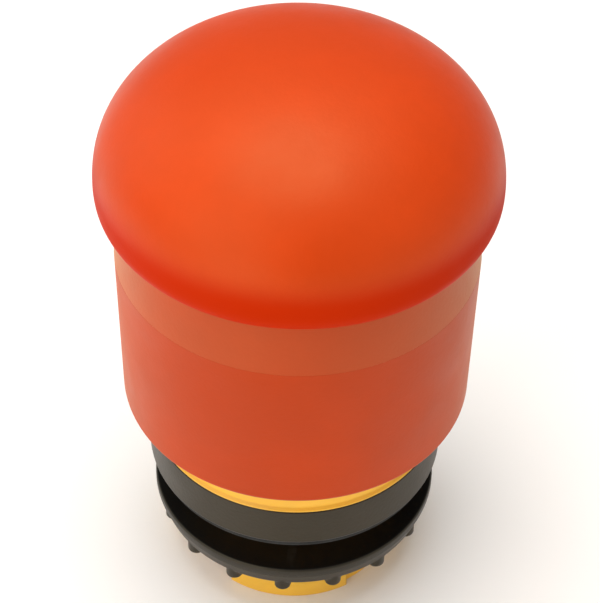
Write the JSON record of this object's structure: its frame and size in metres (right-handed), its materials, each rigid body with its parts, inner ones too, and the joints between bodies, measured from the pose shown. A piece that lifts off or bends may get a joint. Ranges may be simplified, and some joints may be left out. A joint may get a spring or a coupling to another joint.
{
  "type": "emergency stop button",
  "caption": "Panel-mounted emergency stop operator: a domed mushroom head on a sleeve pushes in and pulls out again, over a collar, trim ring, gasket, threaded barrel and clamping nut.",
  "frame": {"origin": "on the operator's axis, in the plane of the panel's front face, which is the gasket's underside", "axes": "+Z along the axis towards the mushroom head, +X and +Y across it; the latch pins and the washer's tongues lie on X"},
  "size_m": [0.038, 0.038, 0.0612],
  "materials": {
    "red_plastic": "fine moulded grain, satin",
    "yellow_plastic": "smooth moulded, satin",
    "orange_plastic": "smooth moulded, satin",
    "black_plastic": "fine moulded grain, satin",
    "dark_plastic": "smooth moulded",
    "grey_plastic": "smooth moulded",
    "natural_plastic": "smooth moulded",
    "black_rubber": "matt",
    "spring_steel": "drawn wire and rolled strip",
    "pin_steel": "ground"
  },
  "bodies": {
    "housing": {"housing_barrel": "yellow_plastic", "front_bezel": "black_plastic", "panel_gasket": "black_rubber", "bezel_seal": "black_rubber", "wiper_seal": "black_rubber", "stem_bush": "natural_plastic", "spring_seat": "spring_steel", "return_spring": "spring_steel", "latch_cage": "grey_plastic", "latch_spring_left": "spring_steel", "latch_spring_right": "spring_steel", "rear_guide": "orange_plastic", "retaining_ring": "spring_steel"},
    "head": {"mushroom_cap": "red_plastic", "skirt_sleeve": "red_plastic", "head_carrier": "grey_plastic", "stem": "dark_plastic", "stem_clip": "spring_steel", "cross_pin": "pin_steel", "rear_plunger": "natural_plastic"},
    "latch_pin_left": {"latch_pin_left": "pin_steel"},
    "latch_pin_right": {"latch_pin_right": "pin_steel"},
    "washer": {"clamp_washer": "black_plastic"},
    "nut": {"ring_nut": "black_plastic"}
  },
  "joints": [
    {"name": "head_slide", "type": "slide", "parent": "housing", "child": "head", "axis": [0, 0, 1], "range_m": [-0.0055, 0], "deforming": ["return_spring"]},
    {"name": "latch_pin_left_slide", "type": "slide", "parent": "housing", "child": "latch_pin_left", "axis": [-1, 0, 0], "range_m": [0, 0.0012], "deforming": ["latch_spring_left"]},
    {"name": "latch_pin_right_slide", "type": "slide", "parent": "housing", "child": "latch_pin_right", "axis": [1, 0, 0], "range_m": [0, 0.0012], "deforming": ["latch_spring_right"]},
    {"name": "washer_slide", "type": "slide", "parent": "housing", "child": "washer", "axis": [0, 0, 1], "range_m": [-0.0025, 0.0029]},
    {"name": "nut_turn", "type": "hinge", "parent": "washer", "child": "nut", "pos_m": [0, 0, -0.0061], "axis": [0, 0, 1], "range_deg": [-600, 696]}
  ],
  "couplings": [
    {"joint": "latch_pin_left_slide", "follows": "head_slide", "ratio": -0.21818},
    {"joint": "latch_pin_right_slide", "follows": "head_slide", "ratio": -0.21818},
    {"joint": "washer_slide", "follows": "nut_turn", "m_per_rad": 0.00023873}
  ]
}
